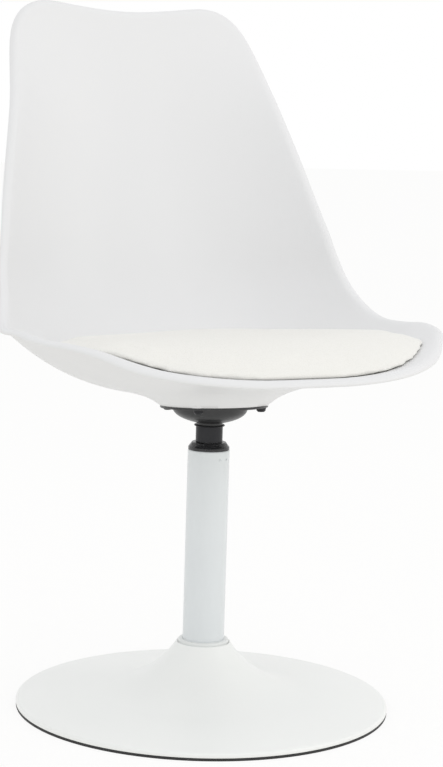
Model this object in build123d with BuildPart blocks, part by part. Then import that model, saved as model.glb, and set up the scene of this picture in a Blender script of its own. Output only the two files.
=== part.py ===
"""A swivel chair: a moulded bucket shell with a seat pad, turning on a column with a trumpet foot.

Millimetres. The origin is on the floor, on the column's axis. +Z is up, and the sitter faces -Y.
"""

from build123d import *
from math import asin, atan2, cos, hypot, pi, radians, sin, sqrt, tan
import os

os.makedirs("parts", exist_ok=True)

# Trumpet foot
base_radius = 215
base_wall = 2
base_edge_height = 8.5
base_edge_roll = 3.5
base_edge_gap = 3.3
base_slope = 6.5
mouth_radius = 31
mouth_height = 75
flare_start_radius = 122
flare_steps = 7
roll_steps = 3
ring_inset = 0.1
ring_width = 19
ring_lip_width = 4.5
ring_lip_rise = 3.1

# Ballast inside the foot
ballast_inset = 11
ballast_thickness = 8
hub_radius = 36
hub_height = 27
hub_spread = 5
tube_socket_depth = 3
bolt_head_room = 1
counterbore_room = 0.5

# Column
tube_radius = 24
tube_wall = 2
neck_rise = 50
tube_edge_round = 1
collar_stand = 3.6
collar_depth = 14
collar_round = 2.2
mouth_clearance = 0.2
crimp_radius = 1.3
crimp_depth = 0.9
crimp_drop = 9.5
crimp_bearings = (5, 30, 185, 210)

# Column bolt
column_bolt_radius = 6
column_bolt_length = 34
bolt_tip = 1.8
bolt_point = 0.9
column_head_width = 19
column_head_height = 7.5
column_washer_radius = 12
column_washer_thickness = 2.2
spring_washer_radius = 10.2
spring_washer_thickness = 2.4
spring_washer_slit = 1.6
column_washer_bore = 6.4
plug_thickness = 20
bolt_hole_clearance = 0.4

# Turning pin and its bearings
spindle_radius = 12.5
tail_radius = 6
tail_length = 26
spindle_chamfer = 1
running_fit = 0.05
bush_chamfer = 0.5
bush_flange_inset = 0.4
bush_shoulder_radius = 20.2
bush_flange_rise = 3.4
bush_height = 8.6
bush_depth = 38
bush_notches = 8
bush_notch_width = 1.6
lower_bush_depth = 22
lower_bush_drop = 108
bearing_drop = 134
race_room = 3
race_thickness = 2.6
roller_radius = 2
roller_length = 7
roller_circle = 13.2
roller_count = 12
roller_fit = 0.02
cage_thickness = 2
cage_width = 10.5
cage_roller_fit = 0.1
bearing_seat_thickness = 6
retainer_thickness = 1.5
retainer_radius = 10.5
clip_thickness = 1.2
clip_radius = 8.6
clip_groove_depth = 0.8
clip_opening = 7
end_float = 0.3

# Neck between the column and the seat
sleeve_radius = 15.4
sleeve_gap = 0.5
neck_ring_radius = 17.6
neck_ring_thickness = 1.4
neck_ring_dish = 0.5
hub_neck_radius = 14.9
hub_neck_height = 3
dish_radius = 43.8
dish_depth = 18.5
dish_wall = 2.5
dish_hub_rise = 9
spindle_inset = 1

# Seat plate and its bolts
seat_tilt = 4
seat_forward = 10
plate_height = 350
plate_radius = 61.5
plate_thickness = 3
plate_round = 0.4
bolt_square = 79
socket_width = 4
socket_depth = 2
head_round = 1.6
seat_bolt_radius = 3
seat_bolt_length = 13
seat_head_radius = 5.2
seat_head_height = 3.2
seat_washer_radius = 5.5
seat_washer_thickness = 1.2
insert_radius = 4.2
insert_length = 9.5

# Moulded shell
shell_wall = 4.5
shell_half_width = 261
foot_radius = 62
foot_height = 12
foot_wall = 4.5
foot_flare = 40
boss_radius = 8.5
centre_boss_radius = 12
rib_width = 2.6
rib_count = 8
insert_end_room = 0.5
thread_fit = 0.05
seat_line = 40
corner_start = 15
front_line = 179
front_radius = 150
front_turn = 7.5
corner_radius = 175
back_turn = 81
back_line = 318
lip_radius = 5
lip_turn = 55
lip_run = 10
tip_bearing = 45
core_radius = 18
core_forward = 5

# Seat pad
pad_gap = 2.2
pad_height = 79
pad_edge_width = 14
pad_edge_rise = 7
board_width = 90
board_length = 100
board_thickness = 4
board_round = 20
board_back = -10
fixing_radius = 4.5
fixing_height = 5
fixing_spread = 18

# The centre line of the shell runs from the front edge, under the sitter and up the back.
front_heading = radians(front_turn)
corner_arc = corner_radius * radians(back_turn)
seat_start = front_line + front_radius * front_heading
corner_at = seat_start + seat_line
back_at = corner_at + corner_arc
line_length = back_at + back_line
foot_at = corner_at - corner_start

# Half of the rim laid flat, from the front centre to the top centre: across, as a share of the
# shell's half width, and along the centre line, as a share of its length.
rim_shares = [
    (0, 0), (0.27, 0.004), (0.418, 0.017), (0.536, 0.032), (0.66, 0.049), (0.755, 0.069),
    (0.82, 0.093), (0.873, 0.119), (0.925, 0.147), (0.972, 0.172), (1.0, 0.205), (0.982, 0.25),
    (0.947, 0.30), (0.915, 0.36), (0.892, 0.44), (0.868, 0.52), (0.838, 0.60), (0.798, 0.68),
    (0.733, 0.77), (0.66, 0.865), (0.60, 0.94), (0.545, 0.985), (0.47, 1.002), (0.38, 1.004),
    (0.22, 0.998), (0, 0.992),
]
# Half width of the level middle of a cross-section, as a share of the shell's half width, and how
# sharply its sides bend up, as the shell's half width over the bend's radius.
flat_shares = [
    (0, 0.09), (0.16, 0.11), (0.26, 0.23), (0.36, 0.26), (0.46, 0.20), (0.6, 0.14), (1, 0.12),
]
bend_shares = [
    (0, 0.20), (0.03, 0.32), (0.05, 0.50), (0.07, 0.61), (0.09, 0.66), (0.12, 0.68), (0.15, 0.67),
    (0.175, 0.67), (0.20, 0.72), (0.26, 1.01), (0.36, 1.32), (0.448, 1.29), (0.54, 1.23),
    (0.62, 1.17), (0.70, 1.15), (0.78, 1.10), (0.84, 1.03), (0.90, 0.84), (0.95, 0.52), (1, 0.20),
]
# Profile of the dish from its rim to its throat: radius as a share of its rim's, and fall as a share
# of its depth. The wall's inner line stands in and up from it by these shares of its thickness.
dish_shares = [(1.0, 0), (0.95, 0.36), (0.82, 0.64), (0.62, 0.85), (0.40, 1.0)]
wall_shares = [(1, 0), (1, 0), (0.9, 0.4), (0.75, 0.65), (0.45, 0.9), (0.1, 1)]
# Rings of the skin between the foot's flare and the rim, and the flare's fall from foot to skin.
ring_shares = [0, 0.05, 0.10, 0.15, 0.21, 0.28, 0.36, 0.45, 0.55, 0.67, 0.82]
floor_shares = [0, 0.30, 0.60, 0.80]
flare_shares = [(0.15, 0.66), (0.35, 0.36), (0.62, 0.12)]
# Sections of the pad: place along the shell's centre line as a share of its length, half width as a
# share of the shell's, and height as a share of the pad's.
pad_shares = [
    (0.0149, 0.268, 0.16), (0.0274, 0.429, 0.30), (0.0473, 0.575, 0.455), (0.0871, 0.747, 0.66),
    (0.1393, 0.851, 0.82), (0.199, 0.912, 0.955), (0.2662, 0.927, 1.0), (0.3234, 0.862, 0.987),
    (0.3669, 0.747, 0.924), (0.4092, 0.613, 0.79), (0.449, 0.498, 0.57), (0.4801, 0.356, 0.28),
    (0.4913, 0.23, 0.115),
]
pad_bulge_shares = (0.2, 0.65)

seat_plane = Plane(
    origin=(0, -seat_forward, plate_height + plate_thickness),
    x_dir=(1, 0, 0),
    z_dir=(0, sin(radians(seat_tilt)), cos(radians(seat_tilt))),
)


def finish(part, name):
    """Label a finished piece and write it under its name."""
    part.part.label = name
    export_step(part.part, f"parts/{name}.step")
    print(name, "solids", len(part.part.solids()), "volume", round(part.part.volume))


def centre_line(along):
    """Place back and up from the foot's centre, and heading in radians, at a run along the shell."""
    if along < seat_start:
        turn = min((seat_start - along) / front_radius, front_heading)
        rest = max(front_line - along, 0.0)
        back = corner_start - seat_line - front_radius * sin(turn) - rest * cos(turn)
        return back, foot_height + front_radius * (1 - cos(turn)) + rest * sin(turn), -turn
    if along < corner_at:
        return corner_start - corner_at + along, foot_height, 0.0
    turn = min(along - corner_at, corner_arc) / corner_radius
    rest = max(along - back_at, 0.0)
    back = corner_start + corner_radius * sin(turn) + rest * cos(turn)
    up = foot_height + corner_radius * (1 - cos(turn)) + rest * sin(turn)
    return back, up, turn


def eased(table, place):
    """Value at a place, on a smooth curve through a table of (place, value)."""
    if place <= table[0][0]:
        return table[0][1]
    if place >= table[-1][0]:
        return table[-1][1]
    last = next(i for i, row in enumerate(table) if row[0] >= place)
    slopes = []
    for i in (last - 1, last):
        before, after = table[max(i - 1, 0)], table[min(i + 1, len(table) - 1)]
        inside = 0 < i < len(table) - 1
        slopes.append((after[1] - before[1]) / (after[0] - before[0]) if inside else 0.0)
    (x0, y0), (x1, y1) = table[last - 1], table[last]
    t = (place - x0) / (x1 - x0)
    lift = 3 * t**2 - 2 * t**3
    start = (t**3 - 2 * t**2 + t) * (x1 - x0) * slopes[0]
    end = (t**3 - t**2) * (x1 - x0) * slopes[1]
    return y0 + (y1 - y0) * lift + start + end


def skin(across, along):
    """Point of the shell's underside, in the seat plane's own directions."""
    back, up, heading = centre_line(along)
    share = along / line_length
    level = eased(flat_shares, share) * shell_half_width
    radius = shell_half_width / eased(bend_shares, share)
    over = max(abs(across) - level, 0.0)
    curl = radius - sqrt(max(radius**2 - over**2, 0.0))
    return Vector(across, back - curl * sin(heading), up + curl * cos(heading))


def skin_normal(across, along):
    """Direction square to the skin, towards the sitter."""
    step = shell_wall / 10
    side = skin(across + step, along) - skin(across - step, along)
    ahead = skin(across, along + step) - skin(across, along - step)
    return side.cross(ahead).normalized()


def flat_rim(half_width, length, start, shares):
    """Closed outline laid flat, from half of it given in shares."""
    half = [(x * half_width, start + s * length) for x, s in shares]
    return half + [(-x, s) for x, s in reversed(half[1:-1])]


def flat_outward(outline, k):
    """Direction out of the flat outline at one of its points."""
    x0, s0 = outline[k - 1]
    x1, s1 = outline[(k + 1) % len(outline)]
    reach = hypot(x1 - x0, s1 - s0)
    return (s1 - s0) / reach, (x0 - x1) / reach


def flat_bearings(outline):
    """Bearings about the foot at which an outline's points leave it, and their shares of a turn."""
    runs = [0.0]
    for (x0, s0), (x1, s1) in zip(outline, outline[1:] + outline[:1]):
        runs.append(runs[-1] + sqrt(hypot(x1 - x0, s1 - s0)))
    shares = [run / runs[-1] for run in runs]
    return [pi - 2 * pi * share for share in shares[:-1]], shares


def flat_places(outline, inset, share, circle, middle):
    """Flat places of one ring, a share of the way from a circle to the outline."""
    bearings, _ = flat_bearings(outline)
    places = []
    for k, (x, s) in enumerate(outline):
        out_x, out_s = flat_outward(outline, k)
        x -= out_x * inset
        s -= out_s * inset
        x0, s0 = circle * sin(bearings[k]), middle + circle * cos(bearings[k])
        places.append((x0 + (x - x0) * share, s0 + (s - s0) * share))
    return places


def closed_ring(points, knots):
    """Closed curve through points given in the seat plane's directions."""
    placed = [seat_plane.from_local_coords(p) for p in points]
    return Wire([Edge.make_spline(placed, periodic=True, parameters=knots)])


def raised(places, height):
    """Points a height above the skin."""
    return [skin(x, s) + skin_normal(x, s) * height for x, s in places]


# Seat shell
rim = flat_rim(shell_half_width, line_length, 0, rim_shares)
lip_middle = lip_radius + shell_wall / 2
lip_outside = lip_radius + shell_wall
lip_reach = lip_outside * sin(radians(lip_turn)) + shell_wall / 2 * cos(radians(lip_turn))
flare_radius = foot_radius + foot_flare

bearings, knots = flat_bearings(rim)
under_rings = [[Vector(foot_radius * sin(a), foot_radius * cos(a), 0) for a in bearings]]
for reach, fall in flare_shares:
    circle = foot_radius + foot_flare * reach
    under_rings.append(raised(flat_places(rim, lip_reach, 0, circle, foot_at), -foot_height * fall))
body_places = []
for share in ring_shares + [1]:
    body_places.append(flat_places(rim, lip_reach + lip_run, share, flare_radius, foot_at))
body_places.append(flat_places(rim, lip_reach, 1, flare_radius, foot_at))
under_rings += [raised(places, 0) for places in body_places]

top_places = []
for share in floor_shares:
    circle = core_radius + (flare_radius - core_radius) * share
    top_places.append(flat_places(rim, lip_reach, 0, circle, foot_at - core_forward * (1 - share)))
top_rings = [raised(places, shell_wall) for places in top_places + body_places]

lip_frames = []
for k, (x, s) in enumerate(body_places[-1]):
    out_x, out_s = flat_outward(rim, k)
    square = skin_normal(x, s)
    run = skin(x + out_x, s + out_s) - skin(x - out_x, s - out_s)
    lip_frames.append((skin(x, s), square, (run - square * run.dot(square)).normalized()))


def lip_ring(radius, turn, tip_radius=0, tip_turn=0):
    """Ring of the lip, which bends away from the sitter, with a round tip."""
    a, b = radians(turn), radians(tip_turn)
    points = []
    for start, square, out in lip_frames:
        arm = square * cos(a) + out * sin(a)
        tangent = out * cos(a) - square * sin(a)
        centre = start - square * lip_radius
        tip = arm * (tip_radius * sin(b)) + tangent * (tip_radius * cos(b))
        points.append(centre + arm * radius + tip)
    return points


lip_rings = [lip_ring(lip_radius, lip_turn / 2), lip_ring(lip_radius, lip_turn)]
for tip_turn in (-tip_bearing, tip_bearing):
    lip_rings.append(lip_ring(lip_middle, lip_turn, shell_wall / 2, tip_turn))
lip_rings += [lip_ring(lip_outside, lip_turn), lip_ring(lip_outside, lip_turn / 2)]

under_wires = [closed_ring(ring, knots) for ring in under_rings]
top_wires = [closed_ring(ring, knots) for ring in top_rings]
lip_wires = [under_wires[-1]] + [closed_ring(ring, knots) for ring in lip_rings] + [top_wires[-1]]
skins = [Shell.make_loft(wires, ruled=True) for wires in (under_wires, lip_wires, top_wires)]
caps = [Face(under_wires[0]), Face(top_wires[0])]
shell_faces = [face for skin_shell in skins for face in skin_shell.faces()] + caps
shell_blank = Solid(Shell(shell_faces))
print("shell blank", shell_blank.is_valid, round(shell_blank.volume), len(shell_blank.faces()))

pocket_radius = foot_radius - foot_wall
with BuildPart() as seat_shell:
    add(shell_blank)
    with BuildSketch(seat_plane):
        Circle(pocket_radius)
        with PolarLocations(0, rib_count):
            Rectangle(2 * pocket_radius, rib_width, mode=Mode.SUBTRACT)
        with GridLocations(bolt_square, bolt_square, 2, 2):
            Circle(boss_radius, mode=Mode.SUBTRACT)
        Circle(centre_boss_radius, mode=Mode.SUBTRACT)
    extrude(amount=foot_height, mode=Mode.SUBTRACT)
    with BuildSketch(seat_plane):
        with GridLocations(bolt_square, bolt_square, 2, 2):
            Circle(insert_radius)
    extrude(amount=insert_length + insert_end_room, mode=Mode.SUBTRACT)
finish(seat_shell, "seat_shell")


# Seat plate, its bolts, washers and inserts
with BuildPart() as plate_inserts:
    with BuildSketch(seat_plane):
        with GridLocations(bolt_square, bolt_square, 2, 2):
            Circle(insert_radius)
            Circle(seat_bolt_radius + thread_fit, mode=Mode.SUBTRACT)
    extrude(amount=insert_length)
finish(plate_inserts, "seat_inserts")

plate_under = seat_plane.offset(-plate_thickness)
with BuildPart() as swivel_plate:
    with BuildSketch(plate_under):
        Circle(plate_radius)
        with GridLocations(bolt_square, bolt_square, 2, 2):
            Circle(seat_bolt_radius + bolt_hole_clearance, mode=Mode.SUBTRACT)
    extrude(amount=plate_thickness)
    chamfer(swivel_plate.edges().filter_by(GeomType.CIRCLE).group_by(SortBy.RADIUS)[-1], plate_round)
finish(swivel_plate, "swivel_plate")

with BuildPart() as seat_washers:
    with BuildSketch(plate_under):
        with GridLocations(bolt_square, bolt_square, 2, 2):
            Circle(seat_washer_radius)
            Circle(seat_bolt_radius + bolt_hole_clearance, mode=Mode.SUBTRACT)
    extrude(amount=-seat_washer_thickness)
finish(seat_washers, "seat_washers")

head_plane = plate_under.offset(-seat_washer_thickness)
with BuildPart() as seat_bolts:
    with BuildSketch(head_plane):
        with GridLocations(bolt_square, bolt_square, 2, 2):
            Circle(seat_head_radius)
    extrude(amount=-seat_head_height)
    chamfer(seat_bolts.edges().group_by(Axis(seat_plane.origin, seat_plane.z_dir))[0], head_round)
    with BuildSketch(head_plane.offset(-seat_head_height)):
        with GridLocations(bolt_square, bolt_square, 2, 2):
            RegularPolygon(socket_width / 2, 6, major_radius=False)
    extrude(amount=socket_depth, mode=Mode.SUBTRACT)
    with BuildSketch(head_plane):
        with GridLocations(bolt_square, bolt_square, 2, 2):
            Circle(seat_bolt_radius)
    extrude(amount=seat_bolt_length)
finish(seat_bolts, "seat_bolts")

# Dish between the plate and the turning pin
dish_foot = plate_height - dish_depth
hub_foot = dish_foot - hub_neck_height
dish_rim = plate_height + plate_thickness
outer_dish = [(dish_radius, dish_rim)]
outer_dish += [(dish_radius * x, plate_height - dish_depth * fall) for x, fall in dish_shares]
inner_dish = []
for (x, z), (lean, rise) in zip(outer_dish, wall_shares):
    inner_dish.append((x - dish_wall * lean, z + dish_wall * rise))
with BuildPart() as swivel_dish:
    with BuildSketch(Plane.XZ):
        with BuildLine():
            Polyline(outer_dish, (0, dish_foot), (0, dish_foot + dish_wall), inner_dish[::-1], close=True)
        make_face()
    revolve(axis=Axis.Z)
    with BuildSketch(Plane.XY.offset(hub_foot)):
        Circle(hub_neck_radius)
    extrude(amount=hub_neck_height + dish_hub_rise)
    with BuildSketch(Plane.XY.offset(hub_foot)):
        Circle(spindle_radius)
    extrude(amount=hub_neck_height + dish_hub_rise, mode=Mode.SUBTRACT)
    split(bisect_by=plate_under, keep=Keep.BOTTOM)
finish(swivel_dish, "swivel_dish")

# Stack of the turning pin, from the column's top down
tube_top = plate_height - neck_rise
tube_bore = tube_radius - tube_wall
bush_top = tube_top + bush_height
bush_flange_radius = tube_radius - bush_flange_inset
bearing_height = tube_top - bearing_drop
race_radius = tube_bore - race_room
roller_height = bearing_height + race_thickness + roller_fit + roller_radius
upper_race_foot = roller_height + roller_radius + roller_fit
race_top = upper_race_foot + race_thickness
retainer_top = bearing_height - bearing_seat_thickness - end_float
clip_top = retainer_top - retainer_thickness
clip_foot = clip_top - clip_thickness

with BuildPart() as spindle:
    with BuildSketch(Plane.XY.offset(race_top)):
        Circle(spindle_radius)
    extrude(amount=hub_foot + hub_neck_height + dish_hub_rise - spindle_inset - race_top)
    chamfer(spindle.edges().filter_by(GeomType.CIRCLE), spindle_chamfer)
    with BuildSketch(Plane.XY.offset(race_top + spindle_chamfer)):
        Circle(tail_radius)
    extrude(amount=-tail_length - spindle_chamfer)
    with BuildSketch(Plane.XY.offset(clip_foot)):
        Circle(tail_radius)
        Circle(tail_radius - clip_groove_depth, mode=Mode.SUBTRACT)
    extrude(amount=clip_thickness, mode=Mode.SUBTRACT)
finish(spindle, "spindle")

with BuildPart() as spindle_sleeve:
    with BuildSketch(Plane.XY.offset(bush_top + sleeve_gap)):
        Circle(sleeve_radius)
        Circle(spindle_radius, mode=Mode.SUBTRACT)
    extrude(amount=hub_foot - neck_ring_thickness - bush_top - sleeve_gap)
finish(spindle_sleeve, "spindle_sleeve")

with BuildPart() as neck_ring:
    with BuildSketch(Plane.XY.offset(hub_foot - neck_ring_thickness)):
        Circle(neck_ring_radius)
        Circle(spindle_radius, mode=Mode.SUBTRACT)
    extrude(amount=neck_ring_thickness)
    chamfer(neck_ring.edges().filter_by(GeomType.CIRCLE).group_by(SortBy.RADIUS)[-1], neck_ring_dish)
finish(neck_ring, "neck_ring")

# Bushes of the column
with BuildPart() as top_bush:
    with BuildSketch(Plane.XY.offset(tube_top - bush_depth)):
        Circle(tube_bore)
    extrude(amount=bush_depth)
    with BuildSketch(Plane.XY.offset(tube_top)):
        Circle(bush_flange_radius)
    extrude(amount=bush_height)
    crown = top_bush.edges().group_by(Axis.Z)[-1]
    chamfer(crown, bush_height - bush_flange_rise, bush_flange_radius - bush_shoulder_radius)
    with BuildSketch(Plane.XY.offset(tube_top - bush_depth)):
        Circle(spindle_radius + running_fit)
    extrude(amount=bush_depth + bush_height, mode=Mode.SUBTRACT)
    with BuildSketch(Plane.XY.offset(bush_top)):
        with PolarLocations(bush_flange_radius, bush_notches):
            Rectangle(2 * (bush_flange_radius - bush_shoulder_radius), bush_notch_width)
    extrude(amount=-(bush_height - bush_flange_rise) / 2, mode=Mode.SUBTRACT)
finish(top_bush, "top_bush")

with BuildPart() as lower_bush:
    with BuildSketch(Plane.XY.offset(tube_top - lower_bush_drop)):
        Circle(tube_bore)
        Circle(spindle_radius + running_fit, mode=Mode.SUBTRACT)
    extrude(amount=lower_bush_depth)
    chamfer(lower_bush.edges().filter_by(GeomType.CIRCLE), bush_chamfer)
finish(lower_bush, "lower_bush")

# Thrust bearing under the turning pin
with BuildPart() as bearing_seat:
    with BuildSketch(Plane.XY.offset(bearing_height - bearing_seat_thickness)):
        Circle(tube_bore)
        Circle(tail_radius + bolt_hole_clearance, mode=Mode.SUBTRACT)
    extrude(amount=bearing_seat_thickness)
finish(bearing_seat, "bearing_seat")

with BuildPart() as lower_race:
    with BuildSketch(Plane.XY.offset(bearing_height)):
        Circle(race_radius)
        Circle(tail_radius + bolt_hole_clearance, mode=Mode.SUBTRACT)
    extrude(amount=race_thickness)
finish(lower_race, "lower_race")

with BuildPart() as upper_race:
    with BuildSketch(Plane.XY.offset(upper_race_foot)):
        Circle(race_radius)
        Circle(tail_radius, mode=Mode.SUBTRACT)
    extrude(amount=race_thickness)
finish(upper_race, "upper_race")

with BuildPart() as bearing_rollers:
    with Locations(Plane.XY.offset(roller_height)):
        with PolarLocations(roller_circle, roller_count):
            Cylinder(roller_radius, roller_length, rotation=(0, 90, 0))
finish(bearing_rollers, "bearing_rollers")

with BuildPart() as bearing_cage:
    with BuildSketch(Plane.XY.offset(roller_height - cage_thickness / 2)):
        Circle(roller_circle + cage_width / 2)
        Circle(roller_circle - cage_width / 2, mode=Mode.SUBTRACT)
        with PolarLocations(roller_circle, roller_count):
            Rectangle(
                roller_length + 2 * cage_roller_fit,
                2 * (roller_radius + cage_roller_fit),
                mode=Mode.SUBTRACT,
            )
    extrude(amount=cage_thickness)
finish(bearing_cage, "bearing_cage")

with BuildPart() as retainer_washer:
    with BuildSketch(Plane.XY.offset(clip_top)):
        Circle(retainer_radius)
        Circle(tail_radius, mode=Mode.SUBTRACT)
    extrude(amount=retainer_thickness)
finish(retainer_washer, "retainer_washer")

with BuildPart() as retainer_clip:
    with BuildSketch(Plane.XY.offset(clip_foot)):
        Circle(clip_radius)
        Circle(tail_radius - clip_groove_depth, mode=Mode.SUBTRACT)
        with Locations((0, -clip_radius)):
            Rectangle(clip_opening, 2 * clip_radius, mode=Mode.SUBTRACT)
    extrude(amount=clip_thickness)
finish(retainer_clip, "retainer_clip")

# Trumpet foot
slope = radians(base_slope)
roll_middle = (base_radius - base_edge_roll, base_edge_height - base_edge_roll)
slope_start = (roll_middle[0] + base_edge_roll * sin(slope), roll_middle[1] + base_edge_roll * cos(slope))
flare_start = (flare_start_radius, slope_start[1] + (slope_start[0] - flare_start_radius) * tan(slope))
mouth_slope = 2 * atan2(mouth_height - flare_start[1], flare_start_radius - mouth_radius) - slope
inner_roll = base_edge_roll - base_wall
inner_start = (roll_middle[0] + inner_roll * sin(slope), roll_middle[1] + inner_roll * cos(slope))
inner_flare = (flare_start[0] - base_wall * sin(slope), flare_start[1] - base_wall * cos(slope))
inner_mouth = (mouth_radius - base_wall * sin(mouth_slope), mouth_height - base_wall * cos(mouth_slope))


def roll_line(radius):
    """Points of the rolled edge, from its outermost one to the slope."""
    turns = [(pi / 2 - slope) * k / roll_steps for k in range(roll_steps + 1)]
    return [(roll_middle[0] + radius * cos(turn), roll_middle[1] + radius * sin(turn)) for turn in turns]


def flare_line(start, end):
    """Points of the flare, an arc that leaves the slope smoothly and ends at the mouth."""
    chord = atan2(end[1] - start[1], start[0] - end[0])
    bend = (chord - slope) / flare_steps
    reach = hypot(end[0] - start[0], end[1] - start[1]) * sin(bend) / sin(chord - slope)
    points = [start]
    for k in range(flare_steps):
        heading = slope + bend * (2 * k + 1)
        x, z = points[-1]
        points.append((x - reach * cos(heading), z + reach * sin(heading)))
    return points[:-1] + [end]


with BuildPart() as base_trumpet:
    with BuildSketch(Plane.XZ):
        with BuildLine():
            Line((base_radius, base_edge_gap), (base_radius, roll_middle[1]))
            Polyline(roll_line(base_edge_roll))
            Line(slope_start, flare_start)
            Polyline(flare_line(flare_start, (mouth_radius, mouth_height)))
            Line((mouth_radius, mouth_height), inner_mouth)
            Polyline(flare_line(inner_flare, inner_mouth))
            Line(inner_flare, inner_start)
            Polyline(roll_line(inner_roll))
            Line((base_radius - base_wall, roll_middle[1]), (base_radius - base_wall, base_edge_gap))
            Line((base_radius - base_wall, base_edge_gap), (base_radius, base_edge_gap))
        make_face()
    revolve(axis=Axis.Z)
finish(base_trumpet, "base_trumpet")

ring_lip_top = base_edge_gap + ring_lip_rise
with BuildPart() as base_ring:
    with BuildSketch():
        Circle(base_radius - ring_inset)
        Circle(base_radius - ring_inset - ring_width, mode=Mode.SUBTRACT)
    extrude(amount=base_edge_gap)
    with BuildSketch(Plane.XY.offset(base_edge_gap)):
        Circle(base_radius - base_wall)
        Circle(base_radius - base_wall - ring_lip_width, mode=Mode.SUBTRACT)
    extrude(amount=ring_lip_rise)
    chamfer(base_ring.edges().group_by(Axis.Z)[-1].sort_by(SortBy.RADIUS)[-1], inner_roll)
finish(base_ring, "base_ring")

# Ballast plate, which follows the inside of the foot along its rim
ballast_radius = base_radius - ballast_inset
ballast_top = base_edge_gap + ballast_thickness
rim_rise = inner_start[1] + (inner_start[0] - ballast_radius) * tan(slope)
flat_radius = inner_start[0] - (ballast_top - inner_start[1]) / tan(slope)
tube_foot = hub_height - tube_socket_depth
head_top = tube_foot + plug_thickness + bolt_tip - column_bolt_length
washer_top = head_top + spring_washer_thickness + column_washer_thickness
with BuildPart() as ballast_plate:
    with BuildSketch(Plane.XZ):
        with BuildLine():
            Polyline(
                (0, base_edge_gap),
                (ballast_radius, base_edge_gap),
                (ballast_radius, rim_rise),
                (flat_radius, ballast_top),
                (hub_radius + hub_spread, ballast_top),
                (hub_radius, hub_height),
                (0, hub_height),
                close=True,
            )
        make_face()
    revolve(axis=Axis.Z)
    with BuildSketch(Plane.XY.offset(hub_height)):
        Circle(tube_radius)
    extrude(amount=-tube_socket_depth, mode=Mode.SUBTRACT)
    with BuildSketch(Plane.XY.offset(base_edge_gap)):
        Circle(column_washer_radius + counterbore_room)
    extrude(amount=washer_top - base_edge_gap, mode=Mode.SUBTRACT)
    with BuildSketch(Plane.XY.offset(washer_top)):
        Circle(column_bolt_radius + bolt_hole_clearance)
    extrude(amount=tube_foot - washer_top, mode=Mode.SUBTRACT)
finish(ballast_plate, "ballast_plate")

# Bolt that holds the column on the ballast
with BuildPart() as column_bolt:
    with BuildSketch(Plane.XY.offset(head_top)):
        RegularPolygon(column_head_width / 2, 6, major_radius=False)
    extrude(amount=-column_head_height)
    with BuildSketch(Plane.XY.offset(head_top)):
        Circle(column_bolt_radius)
    extrude(amount=column_bolt_length)
    chamfer(column_bolt.edges().group_by(Axis.Z)[-1], bolt_point)
finish(column_bolt, "column_bolt")

with BuildPart() as spring_washer:
    with BuildSketch(Plane.XY.offset(head_top)):
        Circle(spring_washer_radius)
        Circle(column_washer_bore, mode=Mode.SUBTRACT)
        with Locations((0, -spring_washer_radius)):
            Rectangle(spring_washer_slit, spring_washer_radius, mode=Mode.SUBTRACT)
    extrude(amount=spring_washer_thickness)
finish(spring_washer, "spring_washer")

with BuildPart() as column_washer:
    with BuildSketch(Plane.XY.offset(head_top + spring_washer_thickness)):
        Circle(column_washer_radius)
        Circle(column_washer_bore, mode=Mode.SUBTRACT)
    extrude(amount=column_washer_thickness)
finish(column_washer, "column_washer")

# Column
with BuildPart() as column_tube:
    with BuildSketch(Plane.XY.offset(tube_foot)):
        Circle(tube_radius)
        Circle(tube_bore, mode=Mode.SUBTRACT)
    extrude(amount=tube_top - tube_foot)
    chamfer(column_tube.edges().group_by(Axis.Z)[-1].sort_by(SortBy.RADIUS)[-1], tube_edge_round)
    for bearing in crimp_bearings:
        out = Vector(sin(radians(bearing)), -cos(radians(bearing)), 0)
        pocket = out * (tube_radius - crimp_depth) + Vector(0, 0, tube_top - crimp_drop)
        with BuildSketch(Plane(pocket, z_dir=out)):
            Circle(crimp_radius)
        extrude(amount=2 * crimp_depth, mode=Mode.SUBTRACT)
finish(column_tube, "column_tube")

with BuildPart() as column_plug:
    with BuildSketch(Plane.XY.offset(tube_foot)):
        Circle(tube_bore)
        Circle(column_bolt_radius + thread_fit, mode=Mode.SUBTRACT)
    extrude(amount=plug_thickness)
finish(column_plug, "column_plug")

collar_top = mouth_height + collar_stand
with BuildPart() as column_collar:
    with BuildSketch(Plane.XY.offset(collar_top)):
        Circle(inner_mouth[0] - mouth_clearance)
        Circle(tube_radius, mode=Mode.SUBTRACT)
    extrude(amount=-collar_depth)
    chamfer(column_collar.edges().group_by(Axis.Z)[-1].sort_by(SortBy.RADIUS)[-1], collar_round)
finish(column_collar, "column_collar")

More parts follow.
